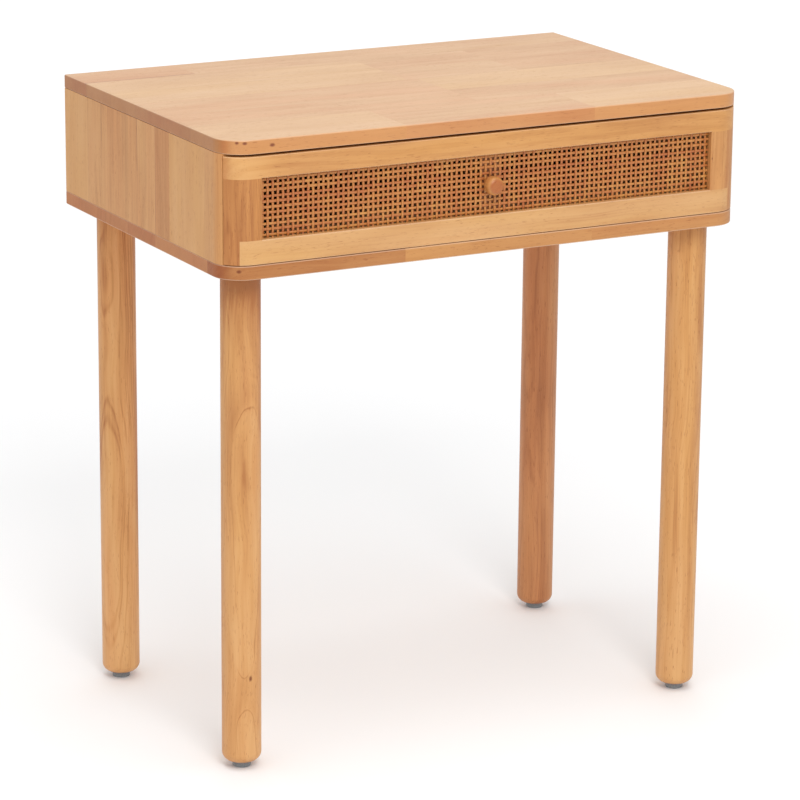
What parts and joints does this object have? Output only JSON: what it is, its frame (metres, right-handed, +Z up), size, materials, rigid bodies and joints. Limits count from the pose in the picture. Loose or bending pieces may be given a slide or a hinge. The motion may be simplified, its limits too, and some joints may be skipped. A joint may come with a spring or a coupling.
{
  "type": "side table with drawer",
  "caption": "Small wooden side table: shallow case with rounded front corners, cane-front drawer with a round knob, and straight round legs on glides.",
  "frame": {"origin": "on the floor under the middle of the table's box, knob included", "axes": "+Z up, -Y towards the drawer's front, +X to the right as one faces the drawer"},
  "size_m": [0.5, 0.336, 0.555],
  "materials": {
    "wood_top": "clear satin lacquer on edge-glued rubberwood staves",
    "wood_case": "clear satin lacquer on edge-glued rubberwood staves",
    "wood_front": "clear satin lacquer, fine straight grain",
    "wood_leg": "clear satin lacquer, long grain down the leg",
    "wood_knob": "clear satin lacquer, end grain on the face",
    "wood_box": "bare sanded rubberwood",
    "plywood": "thin sanded plywood",
    "dowel_wood": "fluted beech dowel",
    "cane": "split cane strips in a square plain weave, slightly glossy skin",
    "zinc_steel": "bright zinc plating",
    "grey_plastic": "moulded grey nylon"
  },
  "bodies": {
    "case": {"top_panel": "wood_top", "bottom_panel": "wood_case", "left_side_panel": "wood_case", "right_side_panel": "wood_case", "back_panel": "wood_case", "left_runner": "wood_box", "right_runner": "wood_box", "drawer_stop": "wood_box", "case_dowels": "dowel_wood", "back_panel_dowels": "dowel_wood", "runner_screws": "zinc_steel", "drawer_stop_screws": "zinc_steel", "leg_inserts": "zinc_steel", "hanger_bolts": "zinc_steel", "glide_nails": "zinc_steel", "front_left_leg": "wood_leg", "front_right_leg": "wood_leg", "back_left_leg": "wood_leg", "back_right_leg": "wood_leg", "front_left_glide": "grey_plastic", "front_right_glide": "grey_plastic", "back_left_glide": "grey_plastic", "back_right_glide": "grey_plastic"},
    "drawer": {"front_top_rail": "wood_front", "front_bottom_rail": "wood_front", "front_left_stile": "wood_front", "front_right_stile": "wood_front", "knob_batten": "wood_front", "left_cane_bead": "wood_front", "right_cane_bead": "wood_front", "top_left_cane_bead": "wood_front", "top_right_cane_bead": "wood_front", "bottom_left_cane_bead": "wood_front", "bottom_right_cane_bead": "wood_front", "cane_panel": "cane", "knob": "wood_knob", "knob_screw": "zinc_steel", "front_frame_dowels": "dowel_wood", "drawer_side_dowels": "dowel_wood", "drawer_left_side": "wood_box", "drawer_right_side": "wood_box", "drawer_back": "wood_box", "drawer_bottom": "plywood", "drawer_back_screws": "zinc_steel", "drawer_bottom_screws": "zinc_steel"}
  },
  "joints": [
    {"name": "drawer_slide", "type": "slide", "parent": "case", "child": "drawer", "axis": [0, -1, 0], "range_m": [0, 0.2]}
  ]
}
